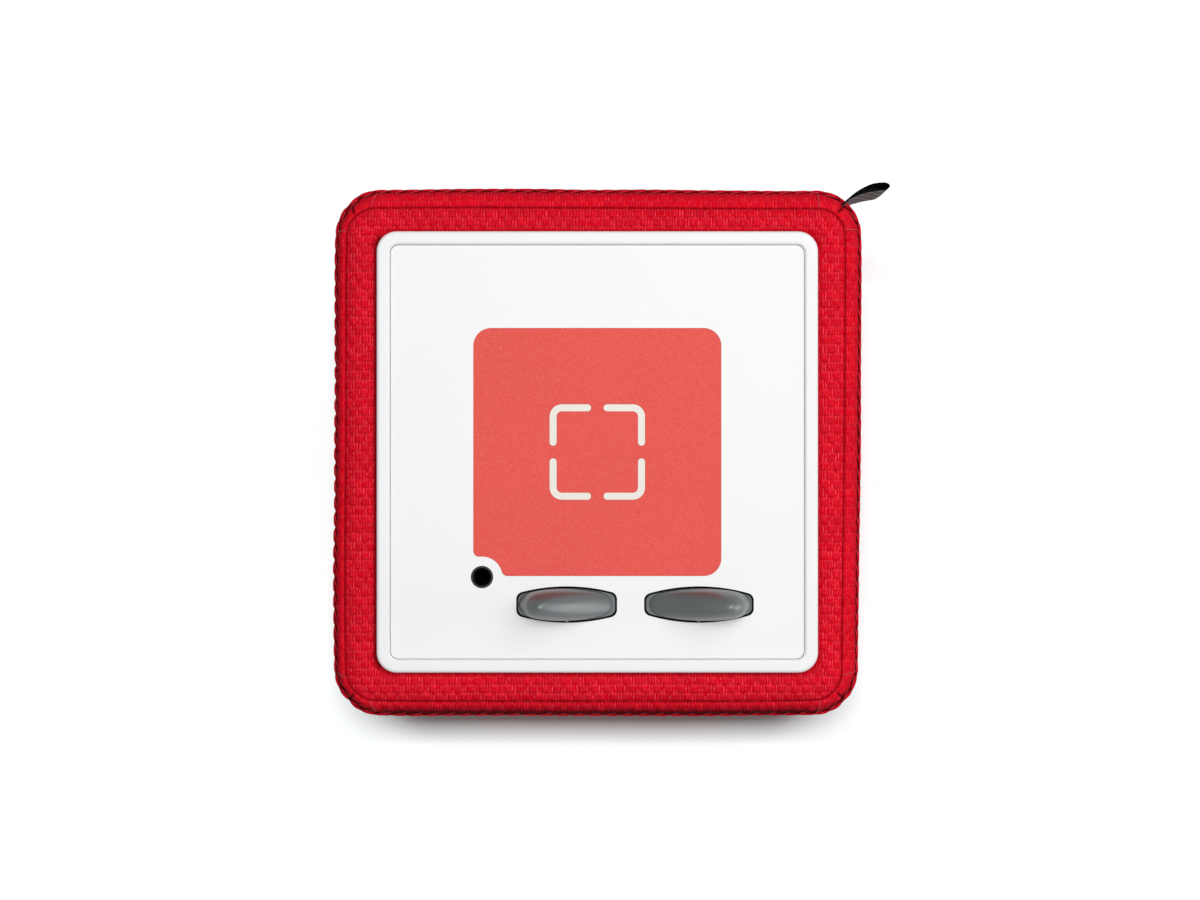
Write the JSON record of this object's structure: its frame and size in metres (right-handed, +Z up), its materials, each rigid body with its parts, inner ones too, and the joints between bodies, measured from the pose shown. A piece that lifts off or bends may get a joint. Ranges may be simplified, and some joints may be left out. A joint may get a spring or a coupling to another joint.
{
  "type": "audio story player",
  "caption": "Soft cube-shaped audio story player: textile cover, white top panel with a figure dock, headphone socket and rocking ear levers, speaker and battery inside.",
  "frame": {"origin": "on the table, under the middle of the square foot ring", "axes": "+Z up through the dock plate; -Y is the front, the side with the levers and the speaker; +X to the user's right"},
  "size_m": [0.1326, 0.1274, 0.136],
  "materials": {
    "red_textile": "woven, matte",
    "padding_foam": "open-cell foam, matte",
    "black_ribbon": "woven ribbon",
    "white_plastic": "fine satin",
    "coral_plate": "fine speckled satin",
    "ivory_inlay": "satin",
    "grey_lever": "satin",
    "core_plastic": "moulded",
    "black_plastic": "satin",
    "foot_rubber": "matte",
    "pivot_steel": "satin",
    "circuit_board": "solder resist",
    "copper_track": "copper",
    "paper_cone": "pressed paper",
    "cell_wrap": "shrink wrap",
    "card_plastic": "thin plastic",
    "clear_pipe": "clear acrylic"
  },
  "bodies": {
    "player": {"top_fabric": "red_textile", "bottom_fabric": "red_textile", "front_fabric": "red_textile", "right_fabric": "red_textile", "back_fabric": "red_textile", "left_fabric": "red_textile", "front_foam": "padding_foam", "right_foam": "padding_foam", "back_foam": "padding_foam", "left_foam": "padding_foam", "corner_tag": "black_ribbon", "bezel_frame": "white_plastic", "top_panel": "white_plastic", "rear_plate": "white_plastic", "dock_plate": "coral_plate", "dock_mark": "ivory_inlay", "core_body": "core_plastic", "base_plate": "core_plastic", "lever_carrier": "core_plastic", "battery_cradle": "core_plastic", "battery_strap": "core_plastic", "socket_collar": "black_plastic", "headphone_socket": "black_plastic", "power_switch": "black_plastic", "speaker_grille": "black_plastic", "board_connectors": "black_plastic", "processor_chip": "black_plastic", "foot_ring": "foot_rubber", "speaker_surround": "foot_rubber", "speaker_gasket": "foot_rubber", "volume_dome_pads": "foot_rubber", "track_dome_pads": "foot_rubber", "battery_lead": "foot_rubber", "speaker_lead": "foot_rubber", "volume_pivot_pin": "pivot_steel", "track_pivot_pin": "pivot_steel", "control_screws": "pivot_steel", "deck_screws": "pivot_steel", "base_screws": "pivot_steel", "speaker_screws": "pivot_steel", "board_screws": "pivot_steel", "usb_socket": "pivot_steel", "wifi_module": "pivot_steel", "dock_magnet": "pivot_steel", "speaker_magnet": "pivot_steel", "speaker_basket": "pivot_steel", "control_board": "circuit_board", "nfc_board": "circuit_board", "main_board": "circuit_board", "io_board": "circuit_board", "nfc_coil": "copper_track", "battery_cells": "cell_wrap", "memory_card": "card_plastic", "ribbon_cable": "card_plastic", "status_light_pipe": "clear_pipe"},
    "volume_lever": {"volume_lever": "grey_lever"},
    "track_lever": {"track_lever": "grey_lever"},
    "power_button": {"power_button": "grey_lever"},
    "switch_plunger": {"switch_plunger": "black_plastic"},
    "speaker_cone": {"speaker_cone": "paper_cone"}
  },
  "joints": [
    {"name": "volume_tilt", "type": "hinge", "parent": "player", "child": "volume_lever", "pos_m": [-0.0073, -0.0363, 0.12], "axis": [0, 1, 0], "range_deg": [-7, 7], "stiffness_Nm_per_rad": 0.05, "deforming": ["volume_dome_pads"]},
    {"name": "track_tilt", "type": "hinge", "parent": "player", "child": "track_lever", "pos_m": [0.0242, -0.0363, 0.12], "axis": [0, 1, 0], "range_deg": [-7, 7], "stiffness_Nm_per_rad": 0.05, "deforming": ["track_dome_pads"]},
    {"name": "power_press", "type": "slide", "parent": "player", "child": "power_button", "axis": [0, -1, 0], "range_m": [0, 0.0007], "stiffness_N_per_m": 800},
    {"name": "switch_travel", "type": "slide", "parent": "player", "child": "switch_plunger", "axis": [0, -1, 0], "range_m": [0, 0.0007]},
    {"name": "cone_travel", "type": "slide", "parent": "player", "child": "speaker_cone", "axis": [0, -1, 0], "range_m": [-0.001, 0.001], "stiffness_N_per_m": 1000, "deforming": ["speaker_surround"]}
  ],
  "couplings": [
    {"joint": "switch_travel", "follows": "power_press", "ratio": 1}
  ]
}
